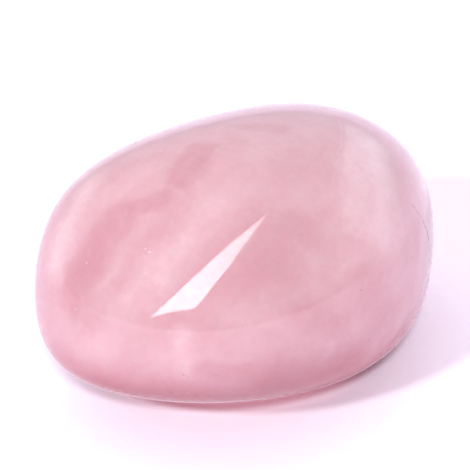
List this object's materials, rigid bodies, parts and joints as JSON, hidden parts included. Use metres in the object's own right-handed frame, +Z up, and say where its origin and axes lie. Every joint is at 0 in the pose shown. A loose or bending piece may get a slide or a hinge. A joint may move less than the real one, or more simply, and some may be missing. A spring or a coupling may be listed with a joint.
{
  "type": "rose quartz pocket stone",
  "caption": "Rounded, polished pebble of cloudy pale pink quartz with soft worn faces; it fits in the palm and rests on a small flat spot.",
  "frame": {"origin": "middle of the box's underside, on the surface that the stone rests on", "axes": "+X along the stone's longest side, towards its blunt end; +Y across it, towards its flattest flank; +Z up from the flat resting spot"},
  "size_m": [0.044, 0.0306, 0.0254],
  "materials": {
    "rose_quartz": "polished"
  },
  "bodies": {
    "root": {"stone": "rose_quartz"}
  },
  "joints": []
}
